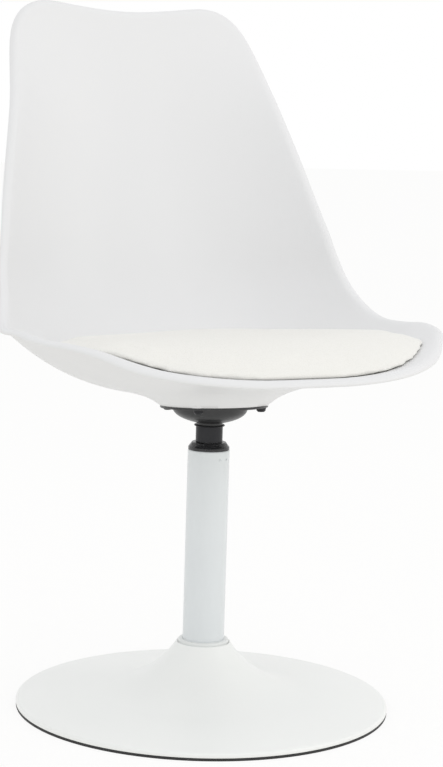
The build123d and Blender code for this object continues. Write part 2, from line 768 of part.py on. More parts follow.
# Seat pad: its sections stand square to the shell's centre line, and their undersides follow it
origin = seat_plane.from_local_coords(Vector(0, 0, 0))
with BuildPart() as pad_cushion:
    for along_share, width_share, height_share in pad_shares:
        along = along_share * line_length
        back, up, heading = centre_line(along)
        ahead = seat_plane.from_local_coords(Vector(0, cos(heading), sin(heading))) - origin
        middle = seat_plane.from_local_coords(Vector(0, back, up))
        level = eased(flat_shares, along_share) * shell_half_width
        radius = shell_half_width / eased(bend_shares, along_share)
        foot = shell_wall + pad_gap
        turn = asin((width_share * shell_half_width - level) / radius)
        tuck, lift = pad_edge_width * height_share, pad_edge_rise * height_share
        middle_x = level + (radius - foot) * sin(turn / 2)
        middle_y = radius - (radius - foot) * cos(turn / 2)
        edge_x = level + (radius - foot) * sin(turn)
        edge_y = radius - (radius - foot) * cos(turn)
        bulge_x = edge_x - tuck * pad_bulge_shares[0]
        bulge_y = edge_y + lift * pad_bulge_shares[1]
        top_x, top_y = edge_x - tuck, edge_y + lift
        with BuildSketch(Plane(origin=middle, x_dir=(1, 0, 0), z_dir=-ahead)):
            with BuildLine():
                Line((-level, foot), (level, foot))
                for side in (1, -1):
                    edge = (side * edge_x, edge_y)
                    ThreePointArc((side * level, foot), (side * middle_x, middle_y), edge)
                    ThreePointArc(edge, (side * bulge_x, bulge_y), (side * top_x, top_y))
                ThreePointArc((top_x, top_y), (0, pad_height * height_share), (-top_x, top_y))
            make_face()
    loft(ruled=True)
    with BuildSketch(seat_plane.offset(foot_height + shell_wall)):
        with Locations((0, board_back)):
            RectangleRounded(board_width, board_length, board_round)
    extrude(amount=fixing_height + board_thickness, mode=Mode.SUBTRACT)
finish(pad_cushion, "pad_cushion")

with BuildPart() as pad_board:
    with BuildSketch(seat_plane.offset(foot_height + shell_wall + fixing_height)):
        with Locations((0, board_back)):
            RectangleRounded(board_width, board_length, board_round)
    extrude(amount=board_thickness)
finish(pad_board, "pad_board")

with BuildPart() as pad_fixings:
    with BuildSketch(seat_plane.offset(foot_height + shell_wall)):
        with Locations((0, -core_forward)):
            with GridLocations(fixing_spread, fixing_spread, 2, 2):
                Circle(fixing_radius)
    extrude(amount=fixing_height)
finish(pad_fixings, "pad_fixings")
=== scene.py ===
# %% [markdown]
# # A swivel chair, from frame to finish
#
# A white moulded bucket seat with a soft pad turns on a painted column that stands in a
# trumpet foot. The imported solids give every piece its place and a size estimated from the
# picture. This lesson dresses them: finishes, light, a camera, smoother turned pieces, and a
# shell and a stuffed pad that are drawn again closer to the picture's outlines. All lengths are
# in metres, with the origin on the floor on the column's axis, and the sitter faces -Y.

# %% Load the frame
import bmesh
import bpy
from math import asin, atan2, cos, hypot, pi, radians, sin, sqrt, tan
from mathutils import Matrix, Vector


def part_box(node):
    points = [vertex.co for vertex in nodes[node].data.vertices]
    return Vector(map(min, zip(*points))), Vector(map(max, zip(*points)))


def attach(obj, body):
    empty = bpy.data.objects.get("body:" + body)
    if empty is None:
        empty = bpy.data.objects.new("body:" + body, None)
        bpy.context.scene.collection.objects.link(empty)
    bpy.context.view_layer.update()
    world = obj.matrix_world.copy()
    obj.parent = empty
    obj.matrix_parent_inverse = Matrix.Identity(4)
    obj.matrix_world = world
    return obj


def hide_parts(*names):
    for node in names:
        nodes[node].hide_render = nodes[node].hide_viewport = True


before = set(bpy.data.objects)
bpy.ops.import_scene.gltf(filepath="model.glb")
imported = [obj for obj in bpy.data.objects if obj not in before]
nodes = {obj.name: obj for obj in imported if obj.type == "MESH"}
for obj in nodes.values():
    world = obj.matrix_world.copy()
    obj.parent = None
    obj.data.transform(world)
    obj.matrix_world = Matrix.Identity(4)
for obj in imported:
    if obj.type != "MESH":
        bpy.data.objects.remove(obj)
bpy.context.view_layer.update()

mm = 0.001


def placed(name, data):
    """New object with this data, in the scene."""
    made = bpy.data.objects.new(name, data)
    bpy.context.scene.collection.objects.link(made)
    return made


# %% [markdown]
# ## Camera
#
# The picture was taken from a little above the seat, about two and a quarter metres away, with
# the chair turned by about 27 degrees. A camera can be placed by eye, but the outline of a chair
# shows every degree, so its place was fitted to the outlines of the foot, the column and the
# seat. A matrix built from three plain turns keeps the fitted numbers readable.

# %% Camera
camera_place = Vector((-1023.2, -2014.5, 663.5)) * mm
camera_heading = radians(-27.239)
camera_pitch = radians(7.254)
camera_roll = radians(1.723)
picture_height = 767
focal_pixels = 1996.9

camera_data = bpy.data.cameras.new("camera")
camera_data.sensor_fit = "VERTICAL"
camera_data.sensor_height = 36
camera_data.lens = focal_pixels * camera_data.sensor_height / picture_height
camera = placed("camera", camera_data)
turn = Matrix.Rotation(camera_heading, 4, "Z") @ Matrix.Rotation(pi / 2 - camera_pitch, 4, "X")
turn = turn @ Matrix.Rotation(camera_roll, 4, "Z")
camera.matrix_world = Matrix.Translation(camera_place) @ turn
bpy.context.scene.camera = camera
print("lens", round(camera_data.lens, 1), "mm")

# %% [markdown]
# ## Shader maths as plain sums
#
# A finish is easier to read as a sum than as a web of nodes. This small class wraps one output
# socket of a material. Adding or multiplying wrapped sockets lays down the Math nodes, vectors
# go through Vector Math, colours through Mix, and `make` lays down any other node.

# %% The socket class
class Signal:
    """One output socket of a material's nodes, which takes part in sums."""

    def __init__(self, tree, socket):
        self.tree = tree
        self.socket = socket

    def make(self, kind, settings=None, sockets=None, output=0):
        """Add a node: its settings first, then the values or links of its sockets."""
        node = self.tree.nodes.new(kind)
        for key, value in (settings or {}).items():
            setattr(node, key, value)
        for key, value in (sockets or {}).items():
            if isinstance(value, Signal):
                self.tree.links.new(value.socket, node.inputs[key])
            else:
                node.inputs[key].default_value = value
        return Signal(self.tree, node.outputs[output]) if node.outputs else None

    def combine(self, operation, *pair):
        """Math node on two signals or values, or a vector one where either is a vector."""
        kinds = [s.socket.type for s in pair if isinstance(s, Signal)]
        kind = "ShaderNodeMath"
        if "VECTOR" in kinds or "RGBA" in kinds:
            kind = "ShaderNodeVectorMath"
            pair = [(v, v, v) if isinstance(v, (int, float)) else v for v in pair]
        return self.make(kind, {"operation": operation}, {0: pair[0], 1: pair[1]})

    def __add__(self, other):
        return self.combine("ADD", self, other)

    def __sub__(self, other):
        return self.combine("SUBTRACT", self, other)

    def __mul__(self, other):
        return self.combine("MULTIPLY", self, other)

    def __truediv__(self, other):
        return self.combine("DIVIDE", self, other)

    def __pow__(self, other):
        return self.combine("POWER", self, other)

    def __radd__(self, other):
        return self.combine("ADD", other, self)

    def __rsub__(self, other):
        return self.combine("SUBTRACT", other, self)

    def __rmul__(self, other):
        return self.combine("MULTIPLY", other, self)

    def __rtruediv__(self, other):
        return self.combine("DIVIDE", other, self)

    def clamped(self):
        """This number, held between 0 and 1."""
        return self.make("ShaderNodeClamp", {}, {"Value": self})

    def span(self, low, high):
        """Number that rises from 0 at low to 1 at high."""
        sockets = {"Value": self, "From Min": low, "From Max": high}
        return self.make("ShaderNodeMapRange", {"interpolation_type": "SMOOTHSTEP"}, sockets)

    def noise(self, size, detail=2.0, rough=0.5):
        """Cloudy noise whose spots are about a size, in metres."""
        sockets = {"Vector": self, "Scale": 1 / size, "Detail": detail, "Roughness": rough}
        return self.make("ShaderNodeTexNoise", {}, sockets)

    def blend(self, low, high):
        """Colour between two colours, by this number."""
        low, high = [(*c, 1) if isinstance(c, tuple) else c for c in (low, high)]
        return self.make("ShaderNodeMix", {"data_type": "RGBA"}, {0: self, 6: low, 7: high}, 2)

    def bump(self, height):
        """Normal of a surface with this relief, whose full height is given in metres."""
        sockets = {"Height": self, "Distance": height, "Strength": 1.0}
        return self.make("ShaderNodeBump", {}, sockets)


print("socket class ready")

# %% [markdown]
# ## One way to start and end a finish
#
# Every finish starts from the surface's own coordinates, which move with the piece, and ends in
# one shader. Numbers that are the same all over are set on the shader itself.

# %% Finish helpers
finishes = {}


def start(name):
    """New material and the coordinates of its surface, in metres."""
    material = bpy.data.materials.new(name)
    material.use_nodes = True
    tree = material.node_tree
    tree.nodes.clear()
    finishes[name] = material
    where = tree.nodes.new("ShaderNodeTexCoord").outputs["Object"]
    return Signal(tree, where)


def coat(where, **sockets):
    """Close a finish with its shader. Sockets are named with underscores for spaces."""
    named = {key.replace("_", " "): value for key, value in sockets.items()}
    shader = where.make("ShaderNodeBsdfPrincipled", {}, named)
    where.make("ShaderNodeOutputMaterial", {}, {"Surface": shader})


def dress(finish, *names):
    """Give carried-over pieces a finish."""
    for name in names:
        nodes[name].data.materials.clear()
        nodes[name].data.materials.append(finishes[finish])
    print(finish, "on", *names)


# %% [markdown]
# ## Moulded white shell
#
# The seat is injection-moulded polypropylene: white with a faint cool cast, satin, with a very
# fine spark-eroded texture from the mould and slow changes in gloss where the plastic cooled at
# different rates. A flat white would look like paper. Two sizes of noise give the texture, and a
# slow one drifts the colour and the roughness a little.

# %% Shell finish
where = start("moulded_white")
drift = where.noise(0.16, 1.0)
grain = where.noise(0.0009, 2.0)
pores = where.noise(0.0035, 2.0)
coat(
    where,
    Base_Color=drift.blend((0.790, 0.793, 0.802), (0.815, 0.816, 0.820)),
    Roughness=0.40 + drift * 0.08 + grain * 0.06,
    Normal=(grain * 0.7 + pores * 0.3).bump(0.00006),
    IOR=1.49,
)
print("finish", "moulded_white")

# %% [markdown]
# ## Leatherette of the pad
#
# The pad's cover is ivory polyurethane leatherette. Its grain is a network of tiny pebbles about
# a millimetre wide, with soft creases between them. Voronoi cells give pebbles of that kind:
# their rounded distance is the height, noise bends the cells so that they don't look like tiles,
# and the valleys are duller than the tops. The valleys are also painted a little darker, which is
# painted shade in the creases.

# %% Leatherette finish
where = start("ivory_leatherette")
cloud = {"Vector": where, "Scale": 500.0, "Detail": 2.0}
wander = where.make("ShaderNodeTexNoise", {}, cloud, "Color")
cells = {"Vector": where + wander * 0.0006, "Scale": 720.0, "Smoothness": 0.4}
pebbles = where.make("ShaderNodeTexVoronoi", {"feature": "SMOOTH_F1"}, cells)
valleys = pebbles.span(0.35, 0.8)
drift = where.noise(0.09, 2.0)
stretch = where.noise(0.012, 3.0)
# Painted shade: the grain's valleys are darkened in the colour, mixed with a slow random tone.
painted_crease_shade_and_tone = (valleys * 0.6 + drift * 0.4).clamped()
coat(
    where,
    Base_Color=painted_crease_shade_and_tone.blend((0.880, 0.872, 0.835), (0.840, 0.830, 0.790)),
    Roughness=0.46 + valleys * 0.12 + drift * 0.05,
    Normal=((1 - valleys) * 0.6 + stretch * 0.4).bump(0.00012),
    Coat_Weight=0.08,
    IOR=1.5,
)
print("finish", "ivory_leatherette")

# %% [markdown]
# ## White powder coat
#
# The foot and the column are steel with a baked white powder coat. Powder melts into a skin with
# a faint orange peel, a few millimetres from crest to crest, over a finer one. The column's copy of
# the coat is a little bluer, as a batch coated apart from the foot, and it is painted darker, which
# is painted shade from the seat above it.

# %% Powder-coat finishes
def powder(name, cool, warm, peel):
    """Powder coat with orange peel of a height."""
    where = start(name)
    waves = where.noise(0.0028, 1.0)
    fine = where.noise(0.0007, 1.0)
    drift = where.noise(0.12, 1.0)
    coat(
        where,
        Base_Color=drift.blend(cool, warm),
        Roughness=0.33 + fine * 0.08 + drift * 0.05,
        Normal=(waves * 0.75 + fine * 0.25).bump(peel),
        Coat_Weight=0.15,
        IOR=1.5,
    )
    print("finish", name)


powder("white_coat", (0.890, 0.905, 0.890), (0.912, 0.922, 0.907), 0.00007)
# The column's coat is darker than the foot's: painted shade from the seat above.
powder("column_coat_with_painted_shade", (0.745, 0.775, 0.790), (0.765, 0.795, 0.805), 0.00005)
powder("black_coat", (0.022, 0.022, 0.023), (0.030, 0.030, 0.031), 0.00006)

# %% [markdown]
# ## Nylon, rubber, tape
#
# The black bush at the column's top is glossy nylon, the white collar at its foot a paler one,
# and the ring under the foot is dull rubber. They differ mostly in roughness and in the depth of
# their texture, so one helper makes them all.

# %% Plastic and rubber finishes
def moulded(name, low, high, roughness, relief, size):
    """Plain moulded material with a texture of a relief and a size."""
    where = start(name)
    texture = where.noise(size, 2.0)
    drift = where.noise(0.03, 2.0)
    coat(
        where,
        Base_Color=drift.blend(low, high),
        Roughness=roughness + texture * 0.1,
        Normal=texture.bump(relief),
        IOR=1.5,
    )
    print("finish", name)


moulded("black_nylon", (0.018, 0.018, 0.020), (0.026, 0.026, 0.028), 0.22, 0.00003, 0.0012)
moulded("white_nylon", (0.780, 0.800, 0.790), (0.810, 0.825, 0.815), 0.32, 0.00003, 0.0012)
moulded("black_rubber", (0.016, 0.016, 0.016), (0.028, 0.028, 0.028), 0.62, 0.00012, 0.0016)
moulded("black_tape", (0.030, 0.030, 0.030), (0.060, 0.060, 0.060), 0.80, 0.00020, 0.0008)

# %% [markdown]
# ## Metals inside and underneath
#
# Turned steel shows fine rings around its axis, zinc plating is cloudier, and the ballast is
# rough cast iron. The rings come from noise that is squeezed along the axis, and stretched noise
# does the rest. All of them sit inside the column or under the seat and show when the chair is
# seen from below.

# %% Metal finishes
def metal(name, low, high, roughness, squeeze):
    """Bare metal whose marks are squeezed along the axes."""
    where = start(name)
    marks = (where * squeeze).noise(0.002, 3.0)
    stain = where.noise(0.02, 2.0)
    coat(
        where,
        Base_Color=(marks * 0.5 + stain * 0.5).blend(low, high),
        Roughness=roughness + marks * 0.15,
        Metallic=1.0,
        Normal=marks.bump(0.00003),
    )
    print("finish", name)


metal("turned_steel", (0.46, 0.46, 0.47), (0.60, 0.60, 0.61), 0.22, (0.3, 0.3, 6.0))
metal("zinc_plate", (0.50, 0.51, 0.53), (0.66, 0.66, 0.66), 0.30, (1.0, 1.0, 1.0))
metal("brass", (0.56, 0.39, 0.17), (0.72, 0.53, 0.25), 0.26, (1.0, 1.0, 4.0))
metal("black_steel", (0.030, 0.030, 0.032), (0.055, 0.055, 0.058), 0.34, (1.0, 1.0, 3.0))

# %% [markdown]
# ## Cast iron
#
# The ballast is a raw casting. Sand leaves a coarse relief, and rust spots are browner and less
# metallic than the skin around them.

# %% Cast iron
where = start("cast_iron")
sand = where.noise(0.0022, 5.0, 0.7)
rust = where.noise(0.03, 3.0).span(0.55, 0.75)
coat(
    where,
    Base_Color=rust.blend((0.055, 0.055, 0.060), (0.110, 0.070, 0.050)),
    Roughness=0.62 + sand * 0.25,
    Metallic=0.7 - rust * 0.5,
    Normal=sand.bump(0.0006),
)
print("finish", "cast_iron")

# %% [markdown]
# ## Plywood
#
# The pad is stapled over a small board of birch plywood. Its face grain runs back to front:
# noise that is squeezed across the grain and drawn out along it.

# %% Plywood finish
where = start("plywood")
grain = (where * (40.0, 1.5, 8.0)).noise(0.05, 4.0)
fibres = (where * (12.0, 0.6, 12.0)).noise(0.003, 2.0)
figure = (grain * 0.7 + fibres * 0.3).span(0.3, 0.7)
coat(
    where,
    Base_Color=figure.blend((0.62, 0.46, 0.29), (0.44, 0.29, 0.16)),
    Roughness=0.6 + fibres * 0.2,
    Normal=fibres.bump(0.0001),
)
print("finish", "plywood")

# %% [markdown]
# ## Dress the carried-over pieces
#
# Pieces whose solid already has the right form keep it, and only take a finish.

# %% Finishes on the solids
# Painted shade: the column gets the darker copy of the white coat.
dress("column_coat_with_painted_shade", "column_tube")
dress("black_coat", "swivel_plate")
dress("black_steel", "seat_bolts", "seat_washers", "spindle_sleeve", "neck_ring", "retainer_clip")
dress("black_rubber", "base_ring")
dress("cast_iron", "ballast_plate")
dress("turned_steel", "spindle", "lower_race", "upper_race", "bearing_rollers", "bearing_seat")
dress("zinc_plate", "column_bolt", "spring_washer", "column_washer", "column_plug")
dress("zinc_plate", "retainer_washer")
dress("black_nylon", "bearing_cage", "lower_bush")
dress("brass", "seat_inserts")
dress("plywood", "pad_board")
dress("black_tape", "pad_fixings")

# %% [markdown]
# ## From geometry to a piece
#
# Every new form goes the same way. Its geometry is built as an edit and closed into a mesh whose
# faces look outwards. It is shaded smoothly, with creases at the sharp edges, and put on the
# body that it moves with, in place of the solid that it stands for.

# %% Mesh helpers
def smoothed(mesh, angle=35):
    """Smooth shading, with creases kept where faces meet more sharply than an angle."""
    for polygon in mesh.polygons:
        polygon.use_smooth = True
    mesh.set_sharp_from_angle(angle=radians(angle))


def piece(name, mesh, finish, body, slot, *replaced):
    """Put a new mesh in the scene, on its body, in place of the pieces that it stands for."""
    made = placed(name, mesh)
    mesh.materials.clear()
    mesh.materials.append(finishes[finish])
    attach(made, body)
    if replaced:
        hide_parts(*replaced)
    print(name, len(mesh.vertices), "vertices on", body)
    return made


def finished(work, name):
    """Mesh of what was built, with its faces turned outwards."""
    bmesh.ops.recalc_face_normals(work, faces=work.faces)
    mesh = bpy.data.meshes.new(name)
    work.to_mesh(mesh)
    work.free()
    return mesh


def applied(target):
    """Replace a piece's mesh by what its modifiers make of it."""
    bpy.context.view_layer.update()
    shown = target.evaluated_get(bpy.context.evaluated_depsgraph_get())
    made = bpy.data.meshes.new_from_object(shown)
    target.modifiers.clear()
    target.data = made
    return made


print("mesh helpers ready")

# %% [markdown]
# ## Turned pieces
#
# The foot, the dish under the seat, the bush and the collar are all round. Their solids have
# short straight cones where the real metal is spun in one sweep, so each is turned again here
# from a smooth profile. A profile is a closed list of (radius, height) points; turning it around
# the axis makes a ring of vertices for each point.

# %% Turning helper
turn_steps = 144
fine_steps = 96


def arc(centre, radius, first, last, steps):
    """Points of an arc, from bearing first to bearing last, in radians from the radius axis."""
    turns = [first + (last - first) * k / steps for k in range(steps + 1)]
    return [(centre[0] + radius * cos(t), centre[1] + radius * sin(t)) for t in turns]


def turned(name, profile, steps=turn_steps):
    """Mesh of a closed profile turned about the column's axis."""
    work = bmesh.new()
    rings = []
    for k in range(steps):
        bearing = 2 * pi * k / steps
        rings.append([work.verts.new((r * cos(bearing), r * sin(bearing), z)) for r, z in profile])
    for k in range(steps):
        here, there = rings[k], rings[(k + 1) % steps]
        for i in range(len(profile)):
            j = (i + 1) % len(profile)
            work.faces.new((here[i], there[i], there[j], here[j]))
    mesh = finished(work, name)
    smoothed(mesh)
    return mesh


print("turning with", turn_steps, "steps")

# %% [markdown]
# ## Trumpet foot
#
# The foot is spun from sheet steel: a rolled edge, a shallow slope, then one sweep up to the
# mouth around the column. The sweep is an arc that leaves the slope smoothly, so the light runs
# over it without a break.

# %% Trumpet foot
base_radius = 215 * mm
base_wall = 2 * mm
base_edge_height = 8.5 * mm
base_edge_roll = 3.5 * mm
base_edge_gap = 3.3 * mm
base_slope = radians(6.5)
mouth_radius = 31 * mm
mouth_height = 75 * mm
flare_start_radius = 122 * mm
sweep_steps = 28


def foot_profile(depth):
    """Edge, slope and sweep of the foot at a depth under its skin, from the edge to the mouth."""
    middle = (base_radius - base_edge_roll, base_edge_height - base_edge_roll)
    roll = arc(middle, base_edge_roll - depth, 0, pi / 2 - base_slope, 6)
    skin_x, skin_z = arc(middle, base_edge_roll, 0, pi / 2 - base_slope, 1)[1]
    level = skin_z + (skin_x - flare_start_radius) * tan(base_slope)
    climb, run = mouth_height - level, flare_start_radius - mouth_radius
    chord = atan2(climb, run)
    radius = hypot(climb, run) / 2 / sin(chord - base_slope)
    centre_x = flare_start_radius + radius * sin(base_slope)
    centre_z = level + radius * cos(base_slope)
    last = 2 * chord - base_slope
    turns = [base_slope + (last - base_slope) * k / sweep_steps for k in range(sweep_steps + 1)]
    reach = radius + depth
    sweep = [(centre_x - reach * sin(t), centre_z - reach * cos(t)) for t in turns]
    return [(base_radius - depth, base_edge_gap)] + roll + sweep


outside = foot_profile(0)
inside = foot_profile(base_wall)
foot_mesh = turned("trumpet_foot", outside + inside[::-1])
piece("trumpet_foot", foot_mesh, "white_coat", "base", "white_coat", "base_trumpet")
print("mouth", [round(v, 4) for v in outside[-1]])

# %% [markdown]
# ## Collar in the mouth
#
# A white nylon collar closes the gap between the column and the foot. Its top edge is a soft
# roll that catches the light above a thin shadow line.

# %% Collar
low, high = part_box("column_collar")
collar_outer = high.x
collar_inner = 24 * mm
collar_roll = 2.2 * mm
collar_bevel = 0.5 * mm
bead = arc((collar_outer - collar_roll, high.z - collar_roll), collar_roll, 0, pi / 2, 6)
collar_profile = [(collar_inner, low.z), (collar_outer, low.z)] + bead
bevel_middle = (collar_inner + collar_bevel, high.z - collar_bevel)
collar_profile += arc(bevel_middle, collar_bevel, pi / 2, pi, 3)
collar_mesh = turned("collar", collar_profile, fine_steps)
piece("collar", collar_mesh, "white_nylon", "base", "white_nylon", "column_collar")

# %% [markdown]
# ## Top bush
#
# The black bush that the turning pin runs in has a flange on the tube's end and a rounded
# shoulder above it, with eight small notches. The form is turned first, and the notches are cut
# out of it with a boolean, which keeps their walls clean.

# %% Top bush
tube_bore = 22 * mm
tube_top = 300 * mm
bush_top = 308.6 * mm
bush_flange = 23.6 * mm
bush_shoulder = 20.2 * mm
bush_foot = 262 * mm
pin_bore = 12.55 * mm
flange_rise = 3.4 * mm
flange_roll = 0.7 * mm
crown_roll = 1.6 * mm
bore_bevel = 0.6 * mm
notch_width = 1.6 * mm
notch_count = 8

flange_middle = (bush_flange - flange_roll, tube_top + flange_rise - flange_roll)
crown_middle = (bush_shoulder - crown_roll, bush_top - crown_roll)
bush_profile = [(pin_bore, bush_foot), (tube_bore, bush_foot), (tube_bore, tube_top)]
bush_profile += [(bush_flange, tube_top)] + arc(flange_middle, flange_roll, 0, radians(60), 3)
bush_profile += arc(crown_middle, crown_roll, radians(20), pi / 2, 5)
bush_profile += [(pin_bore + bore_bevel, bush_top), (pin_bore, bush_top - bore_bevel)]
bush_mesh = turned("bush", bush_profile, fine_steps)
bush = piece("bush", bush_mesh, "black_nylon", "base", "black_nylon", "top_bush")

# %% [markdown]
# ## Notches of the bush
#
# Eight small blocks stand around the shoulder and reach down to the top of the flange. They are
# taken away from the bush together, and the block mesh is thrown away afterwards.

# %% Notches
work = bmesh.new()
crown = bush_top - tube_top - flange_rise
size = Matrix.Diagonal((2 * (bush_flange - bush_shoulder), notch_width, crown, 1))
for k in range(notch_count):
    place = Matrix.Rotation(2 * pi * k / notch_count, 4, "Z")
    place = place @ Matrix.Translation((bush_flange, 0, bush_top))
    bmesh.ops.create_cube(work, size=1, matrix=place @ size)
cutter = placed("notches", finished(work, "notches"))
cut = bush.modifiers.new("notches", "BOOLEAN")
cut.object = cutter
cut.operation = "DIFFERENCE"
applied(bush)
bpy.data.objects.remove(cutter)
smoothed(bush.data)
print("bush faces", len(bush.data.polygons))

# %% [markdown]
# ## Swivel dish
#
# The black dish carries the seat plate on the pin. It is pressed steel, deep and round like a
# small bowl, with a neck that grips the pin. Its rim stops at the tilted plate.

# %% Dish
dish_radius = 43.8 * mm
plate_height = 350 * mm
dish_foot = 331.5 * mm
hub_foot = 328.5 * mm
hub_radius = 14.9 * mm
hub_top = hub_foot + 12 * mm
pin_radius = 12.5 * mm
dish_wall = 2.5 * mm
seat_level = 353 * mm
hub_bevel = 0.4 * mm
plate_wall = 3 * mm
seat_back = -10 * mm
seat_tilt = radians(4)
dish_shares = [(1.0, 0.0), (0.95, 0.36), (0.82, 0.64), (0.62, 0.85), (0.40, 1.0)]


def through(points, steps):
    """Smooth open line through points, with a number of steps between neighbours."""
    ends = [points[0]] + list(points) + [points[-1]]
    line = []
    for k in range(1, len(ends) - 2):
        a, b, c, d = (Vector(p) for p in ends[k - 1 : k + 3])
        square, cube = 2 * a - 5 * b + 4 * c - d, 3 * b - a - 3 * c + d
        for i in range(steps):
            t = i / steps
            line.append(0.5 * (2 * b + (c - a) * t + square * t**2 + cube * t**3))
    return line + [Vector(points[-1])]


dish_depth = plate_height - dish_foot
bowl = through([(dish_radius * x, plate_height - dish_depth * fall) for x, fall in dish_shares], 6)
outer_line = [(dish_radius, seat_level)] + [tuple(p) for p in bowl]
outer_line += [(hub_radius + hub_bevel, dish_foot), (hub_radius, dish_foot - hub_bevel)]
outer_line += [(hub_radius, hub_foot)]
inner_line = [(pin_radius, hub_foot), (pin_radius, hub_top), (hub_radius, hub_top)]
inner_line += [(hub_radius, dish_foot + dish_wall)]
for k in range(len(bowl) - 1, -1, -1):
    before, after = bowl[min(k + 1, len(bowl) - 1)], bowl[max(k - 1, 0)]
    along = (after - before).normalized()
    in_x, in_z = bowl[k].x - along.y * dish_wall, bowl[k].y + along.x * dish_wall
    inner_line.append((max(in_x, hub_radius), min(in_z, seat_level)))
inner_line.append((dish_radius - dish_wall, seat_level))
dish_mesh = turned("dish", outer_line + inner_line, fine_steps)
print("dish profile", len(outer_line + inner_line), "points")

# %% [markdown]
# ## Cut the dish at the plate
#
# The plate above leans back with the seat, and the dish stands level. So the dish is turned a
# little too high and cut along the underside of the plate, and the cut is closed with a face.

# %% Dish at the plate
work = bmesh.new()
work.from_mesh(dish_mesh)
square = Vector((0, sin(seat_tilt), cos(seat_tilt)))
under = Vector((0, seat_back, plate_height + plate_wall)) - plate_wall * square
everything = work.verts[:] + work.edges[:] + work.faces[:]
bmesh.ops.bisect_plane(work, geom=everything, plane_co=under, plane_no=square, clear_outer=True)
bmesh.ops.holes_fill(work, edges=[e for e in work.edges if e.is_boundary], sides=0)
dish_mesh = finished(work, "dish")
smoothed(dish_mesh)
piece("dish", dish_mesh, "black_coat", "seat", "black_coat", "swivel_dish")

# %% [markdown]
# ## The shell's own geometry
#
# The bucket is one sheet bent along a centre line that runs from the front edge, under the
# sitter and up the back. Laid flat, its rim is a smooth outline; every flat place (across,
# along) is lifted onto the bent sheet by one formula. The solid follows the same formula. Here
# the tables are fitted once more to the outlines in the picture, which moves the skin by a
# millimetre or two, and by a centimetre at the side rims, and they are read as smooth curves.
# The three tables of the shell weren't chosen by hand: a least-squares program wrote their
# numbers. That is why they have so many digits, and it isn't the way to copy. A few stations
# picked by eye would be easier to read and to change.

# %% Centre line and tables
shell_wall = 4.5 * mm
shell_half_width = 261 * mm
foot_radius = 62 * mm
foot_height = 12 * mm
pocket_radius = 57.5 * mm
foot_flare = 40 * mm
corner_start = 15 * mm
seat_line = 40 * mm
front_line = 179 * mm
front_radius = 150 * mm
front_heading = radians(7.5)
corner_radius = 175 * mm
corner_arc = corner_radius * radians(81)
back_line = 318 * mm
lip_radius = 5 * mm
lip_turn = radians(74)
lip_run = 10 * mm
core_forward = 5 * mm

seat_start = front_line + front_radius * front_heading
corner_at = seat_start + seat_line
back_at = corner_at + corner_arc
line_length = back_at + back_line
foot_at = corner_at - corner_start

rim_shares = [
    (0, 0), (0.331, 0.0016), (0.491, 0.014), (0.61, 0.0319), (0.703, 0.0502), (0.766, 0.0691),
    (0.826, 0.094), (0.879, 0.117), (0.942, 0.1469), (0.98, 0.1757), (0.992, 0.2053),
    (0.991, 0.2559), (0.966, 0.3061), (0.932, 0.3714), (0.896, 0.4368), (0.873, 0.4981),
    (0.847, 0.5936), (0.803, 0.6663), (0.742, 0.7552), (0.672, 0.8507), (0.618, 0.9377),
    (0.559, 0.9787), (0.48, 0.9982), (0.387, 1.0036), (0.254, 0.9996), (0, 0.9936),
]
flat_shares = [
    (0, 0.116), (0.08, 0.02), (0.16, 0.07), (0.21, 0.117), (0.26, 0.185), (0.31, 0.204),
    (0.36, 0.207), (0.46, 0.188), (0.6, 0.169), (1, 0.022),
]
bend_shares = [
    (0, 0.444), (0.03, 0.4302), (0.05, 0.432), (0.07, 0.4707), (0.09, 0.5104), (0.12, 0.5435),
    (0.15, 0.5643), (0.175, 0.6023), (0.2, 0.668), (0.26, 0.834), (0.36, 1.04), (0.448, 1.19),
    (0.54, 1.25), (0.62, 1.25), (0.7, 1.16), (0.78, 1.05), (0.84, 0.916), (0.9, 0.638),
    (0.95, 0.369), (1, 0.221),
]
seat_place = Matrix.Translation((0, seat_back, seat_level)) @ Matrix.Rotation(-seat_tilt, 4, "X")
print("centre line", round(line_length, 3), "m")

# %% [markdown]
# ## Lifting flat places onto the sheet
#
# `eased` reads a table as a smooth curve, `centre_line` walks the bent line, and `skin` adds the
# sideways curl of the bucket. The direction square to the sheet comes from two small steps.

# %% Skin of the shell
def eased(table, place):
    """Value at a place, on a smooth curve through a table of (place, value)."""
    if place <= table[0][0]:
        return table[0][1]
    if place >= table[-1][0]:
        return table[-1][1]
    last = next(i for i, row in enumerate(table) if row[0] >= place)
    slopes = []
    for i in (last - 1, last):
        before, after = table[max(i - 1, 0)], table[min(i + 1, len(table) - 1)]
        inside = 0 < i < len(table) - 1
        slopes.append((after[1] - before[1]) / (after[0] - before[0]) if inside else 0.0)
    (x0, y0), (x1, y1) = table[last - 1], table[last]
    t = (place - x0) / (x1 - x0)
    rise = y0 + (y1 - y0) * (3 * t**2 - 2 * t**3)
    return rise + (x1 - x0) * (slopes[0] * (t**3 - 2 * t**2 + t) + slopes[1] * (t**3 - t**2))


def centre_line(along):
    """Place back and up from the foot's centre, and heading, at a run along the shell."""
    if along < seat_start:
        turn = min((seat_start - along) / front_radius, front_heading)
        rest = max(front_line - along, 0.0)
        back = corner_start - seat_line - front_radius * sin(turn) - rest * cos(turn)
        return back, foot_height + front_radius * (1 - cos(turn)) + rest * sin(turn), -turn
    if along < corner_at:
        return along - foot_at, foot_height, 0.0
    turn = min(along - corner_at, corner_arc) / corner_radius
    rest = max(along - back_at, 0.0)
    back = corner_start + corner_radius * sin(turn) + rest * cos(turn)
    return back, foot_height + corner_radius * (1 - cos(turn)) + rest * sin(turn), turn


def skin(across, along):
    """Point of the underside, in the seat's own directions."""
    back, up, heading = centre_line(along)
    share = along / line_length
    level = eased(flat_shares, share) * shell_half_width
    radius = shell_half_width / eased(bend_shares, share)
    over = max(abs(across) - level, 0.0)
    curl = radius - sqrt(max(radius**2 - over**2, 0.0))
    return Vector((across, back - curl * sin(heading), up + curl * cos(heading)))


